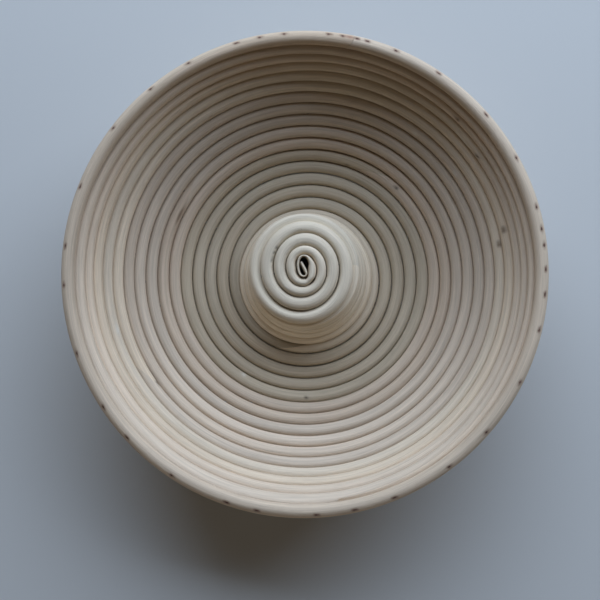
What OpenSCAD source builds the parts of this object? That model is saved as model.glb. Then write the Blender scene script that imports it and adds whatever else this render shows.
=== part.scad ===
// Coiled cane bowl with a hollow centre cone.
// One spiral of round cane runs from the tip of the cone, down its side, across the
// flat base and up the wall. A closed ring of the same cane makes the rim, and small
// nails pin each turn to the turn before it.
//
// Places along the spiral are given in turns, counted from the cone's axis. The
// profile of the bowl is the path, in radius and height, that the middle of the
// woven wall takes, and one turn is one cane diameter along that path.

/* [Cane] */
// Diameter of the cane, which is also the pitch of the coil
cane_d = 8; // [6:0.5:10]
// Hairline gap left between touching turns
turn_gap = 0.06; // [0.04:0.02:0.2]
// Length of the slanted joint between two lengths of cane
scarf_len = 26; // [10:1:40]

/* [Coil] */
// Direction from the axis, in degrees, at which the coil's first turn starts
start_angle = 297; // [0:1:360]
// Straight facets in one turn
facets = 36; // [24:4:48]
// Turn at which the last, tapered turn runs out under the rim
coil_end = 25.05; // [24.9:0.05:25.1]

/* [Handmade lean] */
// Sideways lean of the cone's tip along X
lean_x = -0.3; // [-4:0.1:4]
// Sideways lean of the cone's tip along Y
lean_y = 3.9; // [-4:0.1:6]
// How much longer than wide the first turns at the tip are, as a share
tip_oval = 0.1; // [0:0.01:0.12]

/* [Nails] */
// Diameter of a nail's shank
nail_d = 1.2; // [0.8:0.1:1.6]
// Diameter of a nail's head
nail_head_d = 2.2; // [1.8:0.1:3]
// Length of a nail
nail_len = 14; // [10:1:16]
// Nails in one turn of the cone's side
cone_nails_per_turn = 4; // [2:1:8]
// Nails in one turn of the base and the wall
wall_nails_per_turn = 8; // [4:1:16]

/* [Hidden] */

// Slope of the profile, in degrees, at chosen turns: negative runs downhill outwards.
// Between them it changes evenly, so each stretch is an arc.
slope_course = [
    [0, -7], [2, -11], [3.4, -14], [4.1, -85], [5.1, -86], [5.6, -82], [6.6, -80],
    [7.6, -67], [8.4, -61], [8.9, -54], [9.5, 0], [11.6, 0], [12.8, 15], [14.6, 31],
    [17.6, 36], [23.3, 66], [26, 60]
];

// Place of each turn's outer edge on the profile, in turns. It equals the turn's own
// number, except where the cane thins at the tip and closes up under the rim.
ring_edge = 24.39;
edge_course = [
    [0, 0.75], [0.1, 0.72], [0.2, 0.64], [0.33, 0.56], [0.45, 0.8], [0.58, 0.98],
    [0.66, 1.02], [0.75, 0.99], [0.83, 1.06], [0.91, 1.15], [0.98, 1.25], [1.08, 1.28],
    [1.33, 1.39], [1.58, 1.65], [1.83, 1.83], [2.08, 2.06], [2.33, 2.35], [2.6, 2.65],
    [2.85, 2.79], [3, 2.98], [3.22, 3.24], [3.31, 3.35], [3.45, 3.5], [3.58, 3.58],
    [3.7, 3.66], [3.84, 3.88], [4.07, 4.12], [4.3, 4.34], [4.6, 4.62], [5, 5],
    [23.1, 23.1], [23.4, 23.36], [23.83, 23.58], [23.91, 23.75], [24, 24.1],
    [24.05, 24.28], [24.12, ring_edge], [26, ring_edge]
];

// Turns at which one length of cane ends and the next begins
tip_start = 1.05;
side_start = 4.83;
base_start = 10.1;
lower_start = 14.66;
middle_start = 16.42;
upper_start = 20.23;
top_start = 22.73;

// Share of the full cane height at chosen turns: the tip is shaved down
height_course = [[1, 0.85], [2.2, 1]];

// Thinned tongue at the tip: [x, y, thickness], from its free end to the first turn,
// in mm for a cane of tongue_cane_d
tongue_cane_d = 8;
tongue_h = 6.4;
tongue = [
    [-1.2, 3.6, 1.2], [-0.5, 1.9, 1.5], [0.5, 0, 1.6], [1.5, -1.9, 1.5], [1.95, -3.5, 1.2],
    [1.25, -4.8, 1.1], [-0.6, -4.8, 1.2], [-2.2, -3, 1.5], [-3, 0.2, 1.6], [-2.9, 3.8, 1.7],
    [-1.8, 6.3, 1.6], [0.4, 7.35, 1.3], [2.8, 6.3, 2], [4.8, 3.2, 3.3], [5.35, 0.1, 4.7],
    [5.3, -3.2, 4.6], [4.35, -6.15, 3.8]
];

// Directions of the rim's nails, in degrees. Four sit close together at the ring's joint.
rim_joint_angle = 78.5;
rim_nail_angles = [
    0.6, 6.3, 10.2, 15.5, 28, 40.5, 55.5, 67, 74.2, 76.7, 80.2, 83.6, 94.3, 100.2, 106,
    118.5, 129.5, 142.5, 158.7, 173.5, 182.9, 199.7, 214, 223.2, 237.2, 251.8, 259.2,
    273.4, 282.5, 292.3, 307.1, 319, 333.1, 346.2, 354.7
];
nail_head_t = 0.6;
nail_proud = 0.15;
nail_aim = 1.4;
nail_faces = 24;

// A regular octagon, one unit from the centre to each flat
oct = tan(22.5);
section = [
    [1, -oct], [1, oct], [oct, 1], [-oct, 1], [-1, oct], [-1, -oct], [-oct, -1], [oct, -1]
];
corners = len(section);
flat_turn = 10.5;
cone_foot_turn = 9.5;
oval_fade = 2;
ring_faces = 180;

// The profile's slope at a turn, and the step [radius, height] along it between two turns
function slope_at(q) = lookup(q, slope_course);
function arc_step(q0, q1) =
    let (
        a0 = slope_at(q0),
        a1 = slope_at(q1),
        run = cane_d * (q1 - q0),
        bend = (a1 - a0) * PI / 180
    )
    abs(bend) < 0.0001
        ? run * [cos(a0), sin(a0)]
        : run / bend * [sin(a1) - sin(a0), cos(a0) - cos(a1)];
knots = len(slope_course);
knot_points = [
    for (
        i = 0, p = [0, 0];
        i < knots;
        p = i < knots - 1 ? p + arc_step(slope_course[i][0], slope_course[i + 1][0]) : p,
        i = i + 1
    ) p
];
function knot_before(q, i = 0) =
    i < knots - 2 && slope_course[i + 1][0] <= q ? knot_before(q, i + 1) : i;
function raw_profile(q) =
    let (i = knot_before(q))
    knot_points[i] + arc_step(slope_course[i][0], q);

// The profile stands on the base turns, whose undersides are at height zero
base_drop = raw_profile(flat_turn)[1] - cane_d / 2;
function profile(q) = raw_profile(q) - [0, base_drop];

// Share of the tip's lean and ovalness at a place on the profile
tip_rise = profile(0)[1] - profile(cone_foot_turn)[1];
function lean_share(q) =
    q > cone_foot_turn ? 0 : (profile(q)[1] - profile(cone_foot_turn)[1]) / tip_rise;
function oval_share(q) = tip_oval * exp(-q / oval_fade);

// A point of the wall: place q on the profile, height n above it, direction a
function wall_point(q, n, a) =
    let (
        p = profile(q),
        slope = slope_at(q),
        r = p[0] - n * sin(slope),
        share = lean_share(q),
        oval = oval_share(q)
    )
    [
        r * cos(a) * (1 - oval) + lean_x * share,
        r * sin(a) * (1 + oval) + lean_y * share,
        p[1] + n * cos(slope)
    ];

// A corner of the cane at turn u: w runs across the coil and n away from the wall
function turn_angle(u) = start_angle - 360 * u;
function cane_corner(u, w, n) =
    let (
        half_gap = turn_gap / cane_d / 2,
        inner = lookup(u - 1, edge_course) + half_gap,
        outer = lookup(u, edge_course) - half_gap,
        q = (inner + outer) / 2 + w * (outer - inner) / 2,
        half_height = cane_d / 2 * lookup(u, height_course)
    )
    wall_point(q, n * half_height, turn_angle(u));

// The same corner, kept on the straight facets that all turns share
function faceted_corner(u, w, n) =
    let (
        step = floor(u * facets + 0.0001),
        part = max(u * facets - step, 0),
        from = cane_corner(step / facets, w, n),
        to = cane_corner((step + 1) / facets, w, n)
    )
    from + part * (to - from);

// One ring of corners, slanted by the share of the scarf that is left at turn u
function slant_at(u, from, to, slant_in, slant_out) =
    let (
        turns_per_mm = 1 / (2 * PI * profile(u - 0.5)[0]),
        half_scarf = scarf_len / 2 * turns_per_mm,
        fade = 4 * half_scarf
    )
    half_scarf * (slant_in * max(0, 1 - (u - from) / fade) + slant_out * max(0, 1 - (to - u) / fade));
function cane_ring(u, slant) = [for (c = section) faceted_corner(u + slant * c[0], c[0], c[1])];

// The tongue's rings stand square to its path, at the height of the cone's tip
function tongue_ring(i) =
    let (
        size = cane_d / tongue_cane_d,
        before = tongue[max(i - 1, 0)],
        after = tongue[min(i + 1, len(tongue) - 1)],
        heading = atan2(after[1] - before[1], after[0] - before[0]),
        middle = [size * tongue[i][0] + lean_x, size * tongue[i][1] + lean_y, profile(0.4)[1]],
        half_w = size * tongue[i][2] / 2,
        half_h = size * tongue_h / 2
    )
    [
        for (c = section)
            middle + [-sin(heading) * half_w * c[0], cos(heading) * half_w * c[0], half_h * c[1]]
    ];

// A closed skin over a list of rings
module skin(rings) {
    points = [for (r = rings, p = r) p];
    last = (len(rings) - 1) * corners;
    sides = [
        for (i = [0 : len(rings) - 2], j = [0 : corners - 1])
            let (k = (j + 1) % corners, a = i * corners, b = a + corners)
                each [[a + j, b + j, b + k], [a + j, b + k, a + k]]
    ];
    ends = [
        for (j = [1 : corners - 2])
            each [[0, j, j + 1], [last, last + j + 1, last + j]]
    ];
    polyhedron(points = points, faces = concat(sides, ends), convexity = 10);
}

// Turns at which a length of cane has its rings: both ends, and each facet between
function ring_turns(from, to) =
    concat(
        [from],
        [for (i = [floor(from * facets) + 1 : ceil(to * facets) - 1]) i / facets],
        [to]
    );
function coil_rings(from, to, slant_in, slant_out) =
    [for (u = ring_turns(from, to)) cane_ring(u, slant_at(u, from, to, slant_in, slant_out))];

// A length of cane between two scarf joints, with half a gap's clearance at each end
module cane_length(from, to, slant_in = 1, slant_out = 1) {
    from_gap = slant_in * turn_gap / 2 / (2 * PI * profile(from - 0.5)[0]);
    to_gap = slant_out * turn_gap / 2 / (2 * PI * profile(to - 0.5)[0]);
    skin(coil_rings(from + from_gap, to - to_gap, slant_in, slant_out));
}

module cone_top_cane() {
    tongue_rings = [for (i = [0 : len(tongue) - 1]) tongue_ring(i)];
    color("antiquewhite")
        skin(concat(tongue_rings, coil_rings(tip_start, side_start, 0, 1)));
}

module cone_side_cane() {
    color("wheat") cane_length(side_start, base_start);
}

module base_cane() {
    color("tan") cane_length(base_start, lower_start);
}

module lower_wall_cane() {
    color("burlywood") cane_length(lower_start, middle_start);
}

module middle_wall_cane() {
    color("wheat") cane_length(middle_start, upper_start);
}

module upper_wall_cane() {
    color("tan") cane_length(upper_start, top_start);
}

module top_wall_cane() {
    color("burlywood") cane_length(top_start, coil_end, slant_out = 0);
}

// The rim: a round ring of cane, with a hairline joint where its two ends meet
ring_place = profile(ring_edge + 0.5);
module rim_ring() {
    joint = turn_gap / ring_place[0] * 180 / PI;
    color("bisque")
        translate([0, 0, ring_place[1]])
            rotate(rim_joint_angle + joint / 2)
                rotate_extrude(angle = 360 - joint, $fn = ring_faces)
                    translate([ring_place[0], 0])
                        circle(d = cane_d - turn_gap, $fn = 48);
}

// A nail in the wall: its head at place q, its point aimed into the turn before
module nail(q, a) {
    head = wall_point(q, 0, a);
    back = head - wall_point(q - nail_aim, 0, a);
    translate(head)
        rotate([0, 90 - atan2(back[2], norm([back[0], back[1]])), atan2(back[1], back[0])]) {
            translate([0, 0, -nail_head_t])
                cylinder(d = nail_head_d, h = nail_head_t, $fn = nail_faces);
            translate([0, 0, -nail_len])
                cylinder(d = nail_d, h = nail_len - nail_head_t / 2, $fn = nail_faces);
        }
}

// Nails at even steps along the coil, each driven through its own turn from outside
module coil_nails(from, to, per_turn) {
    for (i = [0 : floor((to - from) * per_turn)]) {
        u = from + i / per_turn;
        nail(lookup(u, edge_course) - turn_gap / cane_d, turn_angle(u));
    }
}

module cone_nails() {
    color("dimgray") coil_nails(3.3, 9.9, cone_nails_per_turn - 0.05);
}

module base_nails() {
    color("dimgray") coil_nails(10.2, 14.3, wall_nails_per_turn - 0.2);
}

module wall_nails() {
    color("dimgray") coil_nails(14.5, 24, wall_nails_per_turn - 0.2);
}

module rim_nails() {
    color("saddlebrown")
        for (a = rim_nail_angles)
            nail(ring_edge + 1 + nail_proud / cane_d, a);
}

cone_top_cane();
cone_side_cane();
base_cane();
lower_wall_cane();
middle_wall_cane();
upper_wall_cane();
top_wall_cane();
rim_ring();
cone_nails();
base_nails();
wall_nails();
rim_nails();
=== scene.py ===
"""Looks for the coiled cane ring bowl: fibrous canes on the spiral that the CAD frame follows."""
import math

import bpy
import numpy as np
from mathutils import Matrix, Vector


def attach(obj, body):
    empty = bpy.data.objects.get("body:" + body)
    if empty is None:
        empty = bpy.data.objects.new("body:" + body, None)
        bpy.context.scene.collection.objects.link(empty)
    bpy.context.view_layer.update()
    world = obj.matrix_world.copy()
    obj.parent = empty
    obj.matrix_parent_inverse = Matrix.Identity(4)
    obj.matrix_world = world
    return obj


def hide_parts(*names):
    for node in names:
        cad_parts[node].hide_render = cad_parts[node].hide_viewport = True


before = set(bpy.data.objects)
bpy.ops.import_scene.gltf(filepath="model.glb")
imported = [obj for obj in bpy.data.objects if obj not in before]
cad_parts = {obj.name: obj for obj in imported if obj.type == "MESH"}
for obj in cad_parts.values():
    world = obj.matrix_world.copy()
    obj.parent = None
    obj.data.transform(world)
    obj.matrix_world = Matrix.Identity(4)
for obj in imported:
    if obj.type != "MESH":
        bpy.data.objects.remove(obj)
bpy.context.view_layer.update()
rng = np.random.default_rng(7)

# ---------------------------------------------------------------- the coil, as in the CAD source
# Lengths are in mm here. Places along the coil are in turns from the cone's axis.
MM = 0.001
CANE_D = 8.0
TURN_GAP = 0.06
# Length of the slanted joints, share of it at the cone top's joint, and the gap left in a joint
SCARF_LEN = 26.0
TIP_SLANT = 0.3
JOINT_GAP = 0.05
# Distance of the last ring of points from a cane's end
LIP = 0.05
# Spacing of the rings of points along a cane
RING_STEP = 1.9
START_ANGLE = 297.0
COIL_END = 25.05
LEAN = (-0.3, 3.9)
TIP_OVAL = 0.1
RING_EDGE = 24.39
CONE_FOOT = 9.5
FLAT_TURN = 10.5

# Slope of the profile, in degrees, at chosen places
SLOPES = [
    (0, -7), (2, -11), (3.4, -14), (4.1, -85), (5.1, -86), (5.6, -82), (6.6, -80),
    (7.6, -67), (8.4, -61), (8.9, -54), (9.5, 0), (11.6, 0), (12.8, 15), (14.6, 31),
    (17.6, 36), (23.3, 66), (26, 60),
]
# Place of each turn's outer edge on the profile. The rows at 24.05 and 24.07 aren't the CAD's: they
# close the slit that the coil's tapered end leaves under the rim
EDGES = [
    (0, 0.75), (0.1, 0.72), (0.2, 0.64), (0.33, 0.56), (0.45, 0.8), (0.58, 0.98),
    (0.66, 1.02), (0.75, 0.99), (0.83, 1.06), (0.91, 1.15), (0.98, 1.25), (1.08, 1.28),
    (1.33, 1.39), (1.58, 1.65), (1.83, 1.83), (2.08, 2.06), (2.33, 2.35), (2.6, 2.65),
    (2.85, 2.79), (3, 2.98), (3.22, 3.24), (3.31, 3.35), (3.45, 3.5), (3.58, 3.58),
    (3.7, 3.66), (3.84, 3.88), (4.07, 4.12), (4.3, 4.34), (4.6, 4.62), (5, 5),
    (23.1, 23.1), (23.4, 23.36), (23.83, 23.58), (23.91, 23.75), (24, 24.1),
    (24.05, 24.3), (24.07, 24.38), (24.12, RING_EDGE), (26, RING_EDGE),
]
# Height of the cane, as a share of its full height, at chosen turns
HEIGHTS = [(1, 0.85), (2.2, 1)]
# Turn at which each length of cane begins
TIP, SIDE, BASE, LOWER, MIDDLE, UPPER, TOP = 1.05, 4.83, 10.1, 14.66, 16.42, 20.23, 22.73
# The shaved end inside the tip: x, y and thickness
TONGUE = [
    (-1.2, 3.6, 1.4), (-0.5, 1.9, 1.8), (0.5, 0, 1.9), (1.5, -1.9, 1.8), (1.95, -3.5, 1.3),
    (1.25, -4.8, 1.1), (-0.6, -4.8, 1.2), (-2.2, -3, 1.5), (-3, 0.2, 1.6), (-2.9, 3.8, 1.7),
    (-1.8, 6.3, 1.6), (0.4, 7.35, 1.3), (2.8, 6.3, 2), (4.8, 3.2, 3.3), (5.35, 0.1, 4.7),
    (5.3, -3.2, 4.6), (4.35, -6.15, 3.8),
]
TONGUE_H = 6.4
# The rim ring's joint and nails, in degrees round the bowl
RIM_JOINT = 78.5
RING_SCARF = 5.0
RING_GAP = 0.12
RIM_NAILS = [
    0.6, 6.3, 10.2, 15.5, 28, 40.5, 55.5, 67, 74.2, 76.7, 80.2, 83.6, 94.3, 100.2, 106,
    118.5, 129.5, 142.5, 158.7, 173.5, 182.9, 199.7, 214, 223.2, 237.2, 251.8, 259.2,
    273.4, 282.5, 292.3, 307.1, 319, 333.1, 346.2, 354.7,
]


def lookup(x, table):
    """The table's value at x, going evenly from row to row."""
    return np.interp(x, [row[0] for row in table], [row[1] for row in table])


def slope_at(q):
    """Slope of the profile at place q, in radians."""
    return np.radians(lookup(q, SLOPES))


GRID = np.linspace(0, 27, 27001)
_step = np.diff(GRID) * CANE_D
_mid = slope_at((GRID[:-1] + GRID[1:]) / 2)
GRID_R = np.concatenate([[0], np.cumsum(_step * np.cos(_mid))])
GRID_Z = np.concatenate([[0], np.cumsum(_step * np.sin(_mid))])
GRID_Z += CANE_D / 2 - np.interp(FLAT_TURN, GRID, GRID_Z)


def profile(q):
    """Radius and height of the middle of the coil's wall."""
    return np.interp(q, GRID, GRID_R), np.interp(q, GRID, GRID_Z)


FOOT_Z = profile(CONE_FOOT)[1]
TIP_RISE = profile(0)[1] - FOOT_Z


def place(r, z, q, angle):
    """A point at radius r and height z, with the handmade lean and ovalness of place q."""
    share = np.where(q > CONE_FOOT, 0, (profile(q)[1] - FOOT_Z) / TIP_RISE)
    oval = TIP_OVAL * np.exp(-q / 2)
    a = np.radians(angle)
    return np.stack([
        r * np.cos(a) * (1 - oval) + LEAN[0] * share,
        r * np.sin(a) * (1 + oval) + LEAN[1] * share,
        z + 0 * a,
    ], -1)


def edges(u):
    """Places of the inner and outer edge of turn u on the profile."""
    return lookup(u - 1, EDGES), lookup(u, EDGES)


def centre(u):
    inner, outer = edges(u)
    return (inner + outer) / 2


def half_width(u):
    """Half the cane's width at turn u, eased where the profile's bend brings turns closer."""
    inner, outer = edges(u)
    r0, z0 = profile(inner)
    r1, z1 = profile(outer)
    return np.minimum(np.hypot(r1 - r0, z1 - z0), (outer - inner) * CANE_D) / 2 - TURN_GAP / 2


# Length of cane run out at each turn, for even rings and for the fibres
U_GRID = np.linspace(0.9, 25.2, 24301)
_c = place(*profile(centre(U_GRID)), centre(U_GRID), START_ANGLE - 360 * U_GRID)
RUN_GRID = np.concatenate([[0], np.cumsum(np.linalg.norm(np.diff(_c, axis=0), axis=1))])


def run_at(u):
    """Length of cane from the tip to turn u."""
    return np.interp(u, U_GRID, RUN_GRID)


def wander(s, step, seed):
    """A smooth random curve over s, about -1 to 1, with a new value every step."""
    r = np.random.default_rng(seed)
    values = r.uniform(-1, 1, 4096)
    t = s / step
    i = np.floor(t).astype(int)
    f = t - i
    f = f * f * (3 - 2 * f)
    return values[i % 4096] * (1 - f) + values[(i + 1) % 4096] * f


def smooth(edge0, edge1, x):
    """0 at edge0, 1 at edge1, and an even S curve between them."""
    t = np.clip((x - edge0) / (edge1 - edge0), 0, 1)
    return t * t * (3 - 2 * t)


# ---------------------------------------------------------------- sections and marks
SIDES = 32
ROUND = 2.12
# How square the cane's section is at chosen turns: 2 is round
SQUARENESS = [(2.8, ROUND), (4.2, 2.6), (5, 3.6), (8, 3.6), (9, 2.3), (10, ROUND)]
PHI = np.linspace(0, 2 * math.pi, SIDES, endpoint=False)


def section(square):
    """Across and outward places, -1 to 1, of the points round a section."""
    across, out = np.cos(PHI), np.sin(PHI)
    return (np.sign(across) * np.abs(across) ** (2 / square),
            np.sign(out) * np.abs(out) ** (2 / square))


SEC_W, SEC_N = section(ROUND)

# Albedo of each length of cane, before its own variation
CREAM = np.array([0.670, 0.560, 0.420])
TINTS = {
    "tip": CREAM * (1.12, 1.15, 1.17),
    "side": CREAM * (1.28, 1.29, 1.29),
    "base": CREAM * (0.83, 0.82, 0.79),
    "lower": CREAM * (0.96, 0.91, 0.90),
    "middle": CREAM * (1.00, 0.97, 0.98),
    "upper": CREAM * (1.15, 1.12, 1.10),
    "top": CREAM * (1.18, 1.14, 1.14),
    "ring": CREAM * (1.02, 0.97, 0.95),
}
GREEN = np.array([0.27, 0.27, 0.17])
BROWN = np.array([0.20, 0.12, 0.07])
BLACK = np.array([0.03, 0.02, 0.015])
PALE = np.array([0.80, 0.75, 0.64])
RUST = np.array([0.13, 0.05, 0.03])
INNER_WOOD = np.array([0.60, 0.42, 0.26])

# Share of painted groove shade, with a dirt tint, at chosen turns
GROOVE_SHADE_AND_DIRT = [(2, 0.2), (3.6, 0.2), (4.2, 0.1), (5, 0.03), (9.5, 0.03), (10.3, 0.26), (23, 0.3)]

# Share of the colour left at the foot of the cone: painted shade in the corner where the cone meets
# the base
FOOT_SHADE = [(8.8, 1), (9.3, 0.86), (9.7, 0.78), (10.1, 0.78), (10.4, 0.95), (11, 1)]

# Spots and knots: turn, place across the cane (-1 to 1), length and width in mm, colour,
# strength, and how far the spot stands proud, in mm
MARKS = [
    (16.398, -0.2, 12, 1.8, BROWN, 0.85, -0.1),
    (20.225, -0.6, 3.5, 1.8, BLACK, 0.8, -0.2),
    (20.235, -0.8, 14, 1.2, BROWN, 0.8, 0.0),
    (22.73, 0.0, 2.8, 1.9, BLACK, 0.95, -0.2),
    (22.713, -0.3, 10, 1.6, PALE, 0.9, 0.2),
    (21.79, 0.4, 3.2, 2.8, BROWN, 0.8, -0.1),
    (14.70, 0.5, 2.5, 1.6, BLACK, 0.8, -0.2),
    (14.63, -0.5, 3.0, 1.2, BROWN, 0.6, 0.0),
    (20.80, 0.7, 3.5, 2.0, BROWN, 0.8, 0.0),
    (19.68, 0.0, 3.5, 2.0, PALE, 0.6, 0.2),
    (19.73, 0.1, 3.0, 2.0, PALE, 0.6, 0.2),
    (23.70, 0.3, 3.0, 2.0, BROWN, 0.8, 0.0),
    (14.075, 0.4, 2.2, 1.5, BLACK, 0.8, -0.1),
    (14.167, -0.5, 3.0, 2.0, PALE, 0.8, 0.5),
    (21.28, 0.0, 6.0, 2.4, PALE, 0.6, 0.2),
    # No colour: a swelling that hides a cone nail, whose tip stands 0.2 mm out of the CAD's cane
    (3.56, -0.4, 6, 4, PALE, 0.0, 0.5),
    (2.20, 0.2, 5, 1.2, PALE, 0.7, 0.1),
    (3.43, -0.85, 3, 1, BLACK, 0.7, 0.0),
    (3.40, -0.85, 2, 1, BLACK, 0.7, 0.0),
    (3.37, -0.85, 2.5, 1, BLACK, 0.6, 0.0),
]


def section_points(u, w, n):
    """Cane surface at turn u: w runs across the coil and n away from the wall, each -1 to 1."""
    q = centre(u)
    slope = slope_at(q)
    r, z = profile(q)
    hw = half_width(u)
    hh = CANE_D / 2 * lookup(u, HEIGHTS)
    run = run_at(u)
    long_wave, short_wave, thinning = 0.16, 0.07, 0.012
    proud = long_wave * wander(run, 70, 11) + short_wave * wander(run, 23, 12)
    swell = 1 - thinning * (1 + wander(run, 45, 13))
    across = w * hw * swell
    out = n * hh * swell + proud
    r = r + across * np.cos(slope) - out * np.sin(slope)
    z = z + across * np.sin(slope) + out * np.cos(slope)
    return place(r, z, q, START_ANGLE - 360 * u)


def flutes(run, w, n, seed):
    """Share of the radius by which the fibre bundles under the skin stand out."""
    a = np.arctan2(n, w)
    total = 0
    for k, size in ((3, 0.010), (5, 0.007), (7, 0.006), (11, 0.004)):
        total = total + size * np.cos(k * a + 3 * wander(run, 160, seed + k))
    return 1 + total


def paint(u, w, n, tint, seed):
    """Albedo at each point of a cane, and how far its marks stand proud, in mm."""
    run = run_at(u)
    shade = 1 + 0.05 * wander(run, 260, seed) + 0.03 * wander(run, 60, seed + 1)
    # Painted shade: the canes are darker at the foot of the cone, in the corner where it meets the
    # base
    shade = shade * lookup(u, FOOT_SHADE)
    warm = 0.022 * wander(run, 340, seed + 2)
    colour = tint * shade[..., None] * np.stack([1 + warm, 1 + 0 * warm, 1 - warm], -1)
    # Painted groove shade with a dirt tint: each cane's edges, where it meets its neighbours, are
    # darkened towards green or brown
    side = smooth(0.86, 1.0, np.abs(w)) * (0.65 + 0.35 * wander(run, 30, seed + 3))
    groove_shade_and_dirt_colour = np.where((u < 15)[..., None], GREEN, BROWN + 0.10)
    groove_shade_and_dirt_share = lookup(u, GROOVE_SHADE_AND_DIRT)
    colour = colour + (groove_shade_and_dirt_colour - colour) * (groove_shade_and_dirt_share * side)[..., None]
    proud = np.zeros_like(run)
    for turn, across, length, width, ink, strength, lift in MARKS:
        if not u.min() < turn < u.max():
            continue
        d = ((run - run_at(turn)) / (length / 2)) ** 2
        d = d + ((w - across) * CANE_D / 2 / (width / 2)) ** 2
        near = np.exp(-d) * (n > -0.2)
        colour = colour + (ink - colour) * (strength * np.minimum(1, 1.4 * near))[..., None]
        proud = proud + lift * near
    return colour, proud


# ---------------------------------------------------------------- meshes
def build(name, rings, colours, fibres, closed, node):
    """A closed skin over rings of points (mm), with its colour and fibre coordinates."""
    count, sides = rings.shape[:2]
    quads_along = count if closed else count - 1
    i, j = np.meshgrid(np.arange(quads_along), np.arange(sides), indexing="ij")
    a = i * sides + j
    b = ((i + 1) % count) * sides + j
    c = ((i + 1) % count) * sides + (j + 1) % sides
    d = i * sides + (j + 1) % sides
    loops = np.stack([a, b, c, d], -1).reshape(-1)
    sizes = np.full(quads_along * sides, 4)
    if not closed:
        first = np.arange(sides)
        last = (count - 1) * sides + np.arange(sides)[::-1]
        loops = np.concatenate([loops, first, last])
        sizes = np.concatenate([sizes, [sides, sides]])
    mesh = bpy.data.meshes.new(name)
    mesh.vertices.add(count * sides)
    mesh.vertices.foreach_set("co", (rings.reshape(-1) * MM).astype(np.float32))
    mesh.loops.add(len(loops))
    mesh.loops.foreach_set("vertex_index", loops.astype(np.int32))
    mesh.polygons.add(len(sizes))
    starts = np.concatenate([[0], np.cumsum(sizes)[:-1]])
    mesh.polygons.foreach_set("loop_start", starts.astype(np.int32))
    mesh.polygons.foreach_set("loop_total", sizes.astype(np.int32))
    flags = np.ones(len(sizes), bool)
    flags[quads_along * sides:] = False
    mesh.polygons.foreach_set("use_smooth", flags)
    mesh.update()
    mesh.validate()
    rgba = np.concatenate([colours.reshape(-1, 3), np.ones((count * sides, 1))], 1)
    layer = mesh.attributes.new("cane_color", "FLOAT_COLOR", "POINT")
    layer.data.foreach_set("color", np.clip(rgba, 0, 1).astype(np.float32).reshape(-1))
    layer = mesh.attributes.new("fibre", "FLOAT_VECTOR", "POINT")
    layer.data.foreach_set("vector", fibres.astype(np.float32).reshape(-1))
    obj = bpy.data.objects.new(name, mesh)
    bpy.context.scene.collection.objects.link(obj)
    mesh.materials.append(cane_material)
    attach(obj, "root")
    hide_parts(node)
    return obj


# ---------------------------------------------------------------- materials
def new_material(name):
    """A material, its shader, and helpers that add and link nodes."""
    m = bpy.data.materials.new(name)
    m.use_nodes = True
    nodes = m.node_tree.nodes
    shader = nodes["Principled BSDF"]

    def add(kind, **values):
        node = nodes.new(kind)
        for key, value in values.items():
            if key in node.inputs:
                node.inputs[key].default_value = value
            else:
                setattr(node, key, value)
        return node
    return m, shader, add, m.node_tree.links.new


def make_cane_material():
    """Cane: its painted colour with streaks, pores and ridges that follow the fibres."""
    m, shader, add, link = new_material("rattan_cane")
    colour = add("ShaderNodeAttribute", attribute_name="cane_color")
    fibre = add("ShaderNodeAttribute", attribute_name="fibre")

    def streaks(scale_along, scale_round, detail, rough):
        stretch = add("ShaderNodeVectorMath", operation="MULTIPLY")
        stretch.inputs[1].default_value = (scale_along, scale_round, scale_round)
        link(fibre.outputs["Vector"], stretch.inputs[0])
        noise = add("ShaderNodeTexNoise", Scale=1.0, Detail=detail, Roughness=rough)
        link(stretch.outputs["Vector"], noise.inputs["Vector"])
        return noise.outputs["Fac"]

    def spread(value, low, high):
        node = add("ShaderNodeMapRange")
        node.inputs["From Min"].default_value = 0.28
        node.inputs["From Max"].default_value = 0.72
        node.inputs["To Min"].default_value = low
        node.inputs["To Max"].default_value = high
        link(value, node.inputs["Value"])
        return node.outputs["Result"]

    fine = streaks(0.04, 2.6, 3, 0.6)
    broad = streaks(0.012, 0.55, 2, 0.5)
    pores = streaks(0.12, 5.0, 2, 0.7)
    one = spread(fine, 0.83, 1.10)
    two = spread(broad, 0.90, 1.07)
    both = add("ShaderNodeMath", operation="MULTIPLY")
    link(one, both.inputs[0])
    link(two, both.inputs[1])
    shade = add("ShaderNodeVectorMath", operation="SCALE")
    link(colour.outputs["Color"], shade.inputs[0])
    link(both.outputs["Value"], shade.inputs["Scale"])
    link(shade.outputs["Vector"], shader.inputs["Base Color"])
    link(spread(fine, 0.58, 0.78), shader.inputs["Roughness"])
    shader.inputs["Specular IOR Level"].default_value = 0.28
    ridge = add("ShaderNodeMath", operation="ADD")
    link(fine, ridge.inputs[0])
    link(pores, ridge.inputs[1])
    bump = add("ShaderNodeBump", Strength=0.7, Distance=0.0003)
    link(ridge.outputs["Value"], bump.inputs["Height"])
    link(bump.outputs["Normal"], shader.inputs["Normal"])
    return m


def make_metal(name, colour, dark, metallic, rough):
    """Metal mottled between two colours."""
    m, shader, add, link = new_material(name)
    coords = add("ShaderNodeTexCoord")
    noise = add("ShaderNodeTexNoise", Scale=900.0, Detail=4.0, Roughness=0.65)
    link(coords.outputs["Object"], noise.inputs["Vector"])
    mix = add("ShaderNodeMix", data_type="RGBA")
    link(noise.outputs["Fac"], mix.inputs["Factor"])
    mix.inputs[6].default_value = (*dark, 1)
    mix.inputs[7].default_value = (*colour, 1)
    link(mix.outputs[2], shader.inputs["Base Color"])
    shader.inputs["Metallic"].default_value = metallic
    shader.inputs["Roughness"].default_value = rough
    bump = add("ShaderNodeBump", Strength=0.4, Distance=0.0001)
    link(noise.outputs["Fac"], bump.inputs["Height"])
    link(bump.outputs["Normal"], shader.inputs["Normal"])
    return m


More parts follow.
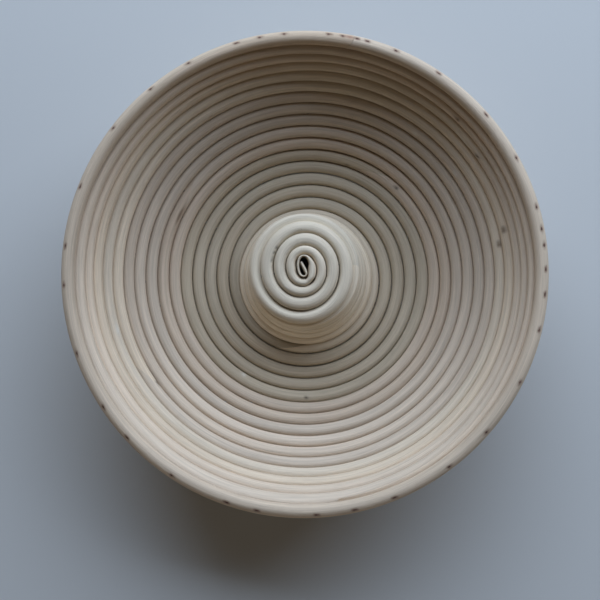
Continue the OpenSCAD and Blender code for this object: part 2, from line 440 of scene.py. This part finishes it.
cane_material = make_cane_material()
steel = make_metal("nail_steel_finish", (0.34, 0.32, 0.30), (0.16, 0.14, 0.12), 1.0, 0.42)
rusty = make_metal("nail_rust_finish", (0.16, 0.075, 0.05), (0.05, 0.025, 0.02), 0.3, 0.75)


# ---------------------------------------------------------------- the canes
def slant_share(u, start, end, slant_in, slant_out):
    """Turns by which the cane's edges run ahead of its middle, near its slanted ends."""
    per_mm = 1 / (2 * math.pi * profile(u - 0.5)[0])
    half = SCARF_LEN / 2 * per_mm
    fade = 4 * half
    return half * (
        slant_in * np.maximum(0, 1 - (u - start) / fade)
        + slant_out * np.maximum(0, 1 - (end - u) / fade)
    )


def crisp_ends(s, lip):
    """The same places with one more just inside each end, so an end's edge shades crisply."""
    return np.concatenate([s[:1], [s[0] + lip], s[1:-1], [s[-1] - lip], s[-1:]])


def even_turns(start, end, spacing):
    s0, s1 = run_at(start), run_at(end)
    s = np.linspace(s0, s1, int(math.ceil((s1 - s0) / spacing)) + 1)
    return np.interp(crisp_ends(s, LIP), RUN_GRID, U_GRID)


def coil_points(start, end, slant_in, slant_out, tint, seed):
    """Rings of points, their colours and fibre coordinates for one length of the coil."""
    u = even_turns(start, end, RING_STEP)[:, None] + 0 * SEC_W
    w, n = section(lookup(u, SQUARENESS))
    u = u + slant_share(u, start, end, slant_in, slant_out) * w
    run = run_at(u)
    rise = flutes(run, w, n, seed)
    colour, proud = paint(u, w, n, tint, seed)
    grow = rise + proud / (CANE_D / 2)
    points = section_points(u, w * np.minimum(grow, 1.004), n * grow)
    fibres = np.stack([run, w * CANE_D / 2, n * CANE_D / 2], -1)
    return points, colour, fibres


def cane(name, node, start, end, tint, seed, slant_in=1, slant_out=1):
    lead = slant_in * JOINT_GAP / (2 * math.pi * profile(start - 0.5)[0])
    tail = slant_out * JOINT_GAP / (2 * math.pi * profile(end - 0.5)[0])
    points, colour, fibres = coil_points(
        start + lead, end - tail, slant_in, slant_out, tint, seed)
    return build(name, points, colour, fibres, False, node)


def catmull(points, per_span):
    """Smooth curve through rows of values, per_span steps in each span."""
    p = np.concatenate([[2 * points[0] - points[1]], points, [2 * points[-1] - points[-2]]])
    out = []
    for i in range(1, len(p) - 2):
        for t in np.arange(per_span) / per_span:
            a, b, c, d = p[i - 1], p[i], p[i + 1], p[i + 2]
            out.append(0.5 * (2 * b + (c - a) * t + (2 * a - 5 * b + 4 * c - d) * t**2
                              + (3 * b - a - 3 * c + d) * t**3))
    out.append(p[-2])
    return np.array(out)


def cone_top():
    """The first length of cane: a thin tongue that widens into the coil."""
    coil, colour, fibres = coil_points(TIP, SIDE - 0.0001, 0, TIP_SLANT, TINTS["tip"], 21)
    tongue = np.array(TONGUE)
    heading = np.gradient(tongue[:, :2], axis=0)
    heading[0] = tongue[1, :2] - tongue[0, :2]
    heading[-1] = tongue[-1, :2] - tongue[-2, :2]
    heading /= np.linalg.norm(heading, axis=1)[:, None]
    top = profile(0.4)[1]
    rows = []
    for (x, y, thick), (hx, hy) in zip(tongue, heading):
        w, n = SEC_W[:, None], SEC_N[:, None]
        middle = np.array([x + LEAN[0], y + LEAN[1], top])
        rows.append(middle + w * thick / 2 * np.array([-hy, hx, 0])
                    + n * TONGUE_H / 2 * np.array([0, 0, 1]))
    keys = np.concatenate([np.array(rows), coil[[0, 4]]])
    bent = catmull(keys, 10)[: 10 * len(rows)]
    middles = bent.mean(1)
    ahead = np.concatenate([[0], np.cumsum(np.linalg.norm(np.diff(middles, axis=0), axis=1))])
    run = run_at(TIP) + ahead - ahead[-1] - RING_STEP
    run = run[:, None] + 0 * SEC_W
    w, n = SEC_W + 0 * run, SEC_N + 0 * run
    shade = 1 + 0.04 * wander(run + 900, 30, 5)
    strip = TINTS["tip"] * (1.05 * shade)[..., None]
    strip = strip + (INNER_WOOD - strip) * (0.6 * smooth(0.9, 0.2, np.abs(n)))[..., None]
    points = np.concatenate([bent, coil])
    return build(
        "cane_cone_top", points, np.concatenate([strip, colour]),
        np.concatenate([np.stack([run, w * 2, n * 3], -1), fibres]), False,
        "cone_top_cane")


cone_top()
cane("cane_cone_side", "cone_side_cane", SIDE, BASE, TINTS["side"], 21, TIP_SLANT)
cane("cane_base", "base_cane", BASE, LOWER, TINTS["base"], 41)
cane("cane_lower_wall", "lower_wall_cane", LOWER, MIDDLE, TINTS["lower"], 51)
cane("cane_middle_wall", "middle_wall_cane", MIDDLE, UPPER, TINTS["middle"], 61)
cane("cane_upper_wall", "upper_wall_cane", UPPER, TOP, TINTS["upper"], 71)
cane("cane_top_wall", "top_wall_cane", TOP, COIL_END, TINTS["top"], 81, 1, 0)


# ---------------------------------------------------------------- the rim
RING_R, RING_Z = (float(v) for v in profile(RING_EDGE + 0.5))
RING_SLOPE = float(slope_at(RING_EDGE + 0.5))


def ring_cane():
    """The rim's cane: its two ends meet on a short slant at the joint."""
    around = 2 * math.pi * RING_R
    count = 480
    slack, wobble = 0.022, 0.006
    t = crisp_ends(np.linspace(0, 1, count), LIP / around)[:, None] + 0 * SEC_W
    w, n = SEC_W + 0 * t, SEC_N + 0 * t
    slant = RING_SCARF / 2 / around
    t = t + slant * w * np.maximum(0, 1 - t / (4 * slant))
    t = t + slant * w * np.maximum(0, 1 - (1 - t) / (4 * slant))
    gap = RING_GAP / around
    t = gap + t * (1 - 2 * gap)
    run = t * around
    angle = RIM_JOINT - 360 * t
    rise = flutes(run, w, n, 91) - slack + wobble * wander(run, 50, 92)
    colour_run = run + 9000
    shade = 1 + 0.05 * wander(colour_run, 200, 93) + 0.03 * wander(colour_run, 45, 94)
    warm = 0.04 * wander(colour_run, 260, 95)
    colour = TINTS["ring"] * shade[..., None] * np.stack([1 + warm, 1 + 0 * warm, 1 - warm], -1)
    across, out = w * CANE_D / 2 * rise, n * CANE_D / 2 * rise
    height = n * CANE_D / 2

    def along_from(place_angle):
        return np.radians((angle - place_angle + 180) % 360 - 180) * RING_R

    # A stain and a dent at each nail, on the outer side of the cane
    stain_len, stain_width, dent_len, dent_width, dent = 1.5, 0.9, 1.4, 0.8, 0.3
    for a in RIM_NAILS:
        along = along_from(a)
        near = np.exp(-(along / stain_len) ** 2 - (height / stain_width) ** 2) * (w > 0)
        colour = colour + (RUST * 1.3 - colour) * (0.95 * np.minimum(1, 1.6 * near))[..., None]
        across = across - dent * np.exp(
            -(along / dent_len) ** 2 - (height / dent_width) ** 2) * (w > 0)
    # Torn, darker fibres at the joint, outside and on the inner edge
    along = along_from(RIM_JOINT)
    torn = np.exp(-(along / 2.4) ** 2 - (height / 1.3) ** 2) * (w > 0)
    torn = torn + np.exp(-((along + 2) / 5) ** 2) * smooth(0.55, 0.9, -w)
    colour = colour + (RUST * 2.5 - colour) * (0.75 * np.minimum(1, torn))[..., None]
    # Painted groove shade with a dirt tint: the ring's inner edge, where it sits on the coil, is
    # darkened towards brown
    side = smooth(0.9, 1.0, -w)
    colour = colour + (BROWN + 0.1 - colour) * (0.6 * side)[..., None]
    r = RING_R + across * math.cos(RING_SLOPE) - out * math.sin(RING_SLOPE)
    z = RING_Z + across * math.sin(RING_SLOPE) + out * math.cos(RING_SLOPE)
    a = np.radians(angle)
    points = np.stack([r * np.cos(a), r * np.sin(a), z], -1)
    fibres = np.stack([colour_run, w * 4, n * 4], -1)
    return build("cane_rim_ring", points, colour, fibres, False, "rim_ring")


ring_cane()


def rim_nail_heads():
    """Small domed heads, driven slightly below the cane's skin."""
    rows, segments = 5, 16
    radius, spread, dome, sink = 1.05, 0.15, 0.30, 0.42
    flatness, shank_depth, shank_share = 0.45, 1.2, 0.6
    verts, faces = [], []
    radial = Vector((math.cos(RING_SLOPE), 0, math.sin(RING_SLOPE)))
    up = Vector((-math.sin(RING_SLOPE), 0, math.cos(RING_SLOPE)))
    side = Vector((0, 1, 0))
    for index, a in enumerate(RIM_NAILS):
        turn = np.array([[math.cos(math.radians(a)), -math.sin(math.radians(a)), 0],
                         [math.sin(math.radians(a)), math.cos(math.radians(a)), 0], [0, 0, 1]])
        size = radius + spread * rng.uniform(-1, 1)
        base = len(verts)
        seat = Vector((RING_R, 0, RING_Z)) + radial * (CANE_D / 2 - sink)
        for k in range(rows + 1):
            t = k / rows
            reach = size * math.sin(t * math.pi / 2)
            lift = dome * math.cos(t * math.pi / 2)
            ring = 1 if k == 0 else segments
            for s in range(ring):
                b = 2 * math.pi * s / segments
                wob = 1 + 0.05 * math.sin(3 * b + index)
                flat = up * (flatness * math.sin(b)) + side * math.cos(b)
                p = seat + radial * lift + flat * reach * wob
                verts.append(turn @ np.array(p))
        foot = len(verts)
        for s in range(segments):
            b = 2 * math.pi * s / segments
            flat = up * (flatness * math.sin(b)) + side * math.cos(b)
            p = seat - radial * shank_depth + flat * size * shank_share
            verts.append(turn @ np.array(p))
        for s in range(segments):
            faces.append((base, base + 1 + s, base + 1 + (s + 1) % segments))
            for k in range(1, rows):
                r0 = base + 1 + (k - 1) * segments
                r1 = r0 + segments
                faces.append((r0 + s, r1 + s, r1 + (s + 1) % segments, r0 + (s + 1) % segments))
            r0 = base + 1 + (rows - 1) * segments
            faces.append((r0 + s, foot + s, foot + (s + 1) % segments, r0 + (s + 1) % segments))
        faces.append(tuple(foot + s for s in range(segments))[::-1])
    mesh = bpy.data.meshes.new("rim_nail_heads")
    mesh.from_pydata([tuple(v * MM) for v in verts], [], faces)
    mesh.polygons.foreach_set("use_smooth", np.ones(len(mesh.polygons), bool))
    mesh.update()
    mesh.materials.append(rusty)
    obj = bpy.data.objects.new("rim_nail_heads", mesh)
    bpy.context.scene.collection.objects.link(obj)
    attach(obj, "root")
    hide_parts("rim_nails")


rim_nail_heads()

for name in ("cone_nails", "base_nails", "wall_nails"):
    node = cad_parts[name]
    node.data.materials.clear()
    node.data.materials.append(steel)

# ---------------------------------------------------------------- floor, light, camera
floor_mesh = bpy.data.meshes.new("floor")
half = 3.0
floor_mesh.from_pydata(
    [(-half, -half, 0), (half, -half, 0), (half, half, 0), (-half, half, 0)], [], [(0, 1, 2, 3)])
floor = bpy.data.objects.new("floor", floor_mesh)
bpy.context.scene.collection.objects.link(floor)
m, shader, add, link = new_material("pale_floor")
shader.inputs["Base Color"].default_value = (0.60, 0.60, 0.58, 1)
shader.inputs["Roughness"].default_value = 0.85
floor_mesh.materials.append(m)


def area_light(name, azimuth, elevation, distance, size, power, colour):
    data = bpy.data.lights.new(name, "AREA")
    data.shape = "RECTANGLE"
    data.size, data.size_y = size
    data.energy = power
    data.color = colour
    obj = bpy.data.objects.new(name, data)
    a, e = math.radians(azimuth), math.radians(elevation)
    toward = Vector((math.cos(a) * math.cos(e), math.sin(a) * math.cos(e), math.sin(e)))
    obj.location = toward * distance
    obj.rotation_mode = "QUATERNION"
    obj.rotation_quaternion = toward.to_track_quat("Z", "Y")
    bpy.context.scene.collection.objects.link(obj)


# Name, azimuth, elevation, distance, size, power and colour
area_light("window", 76, 38, 1.6, (2.8, 1.1), 41, (0.74, 0.90, 1.15))
area_light("low_fill", 256, 2.5, 1.5, (1.8, 0.1), 2.2, (1.0, 0.93, 0.84))

world = bpy.data.worlds.new("studio")
world.use_nodes = True
world.node_tree.nodes["Background"].inputs["Color"].default_value = (1.0, 0.86, 0.70, 1)
world.node_tree.nodes["Background"].inputs["Strength"].default_value = 0.07
bpy.context.scene.world = world
bpy.context.scene.view_settings.view_transform = "Standard"

camera_data = bpy.data.cameras.new("camera")
camera_data.sensor_width = 36
camera_data.lens = 60.95
camera = bpy.data.objects.new("camera", camera_data)
camera.location = (0.02664, -0.03249, 0.65725)
camera.rotation_euler = (0.02851, 0.04763, 0)
bpy.context.scene.collection.objects.link(camera)
bpy.context.scene.camera = camera
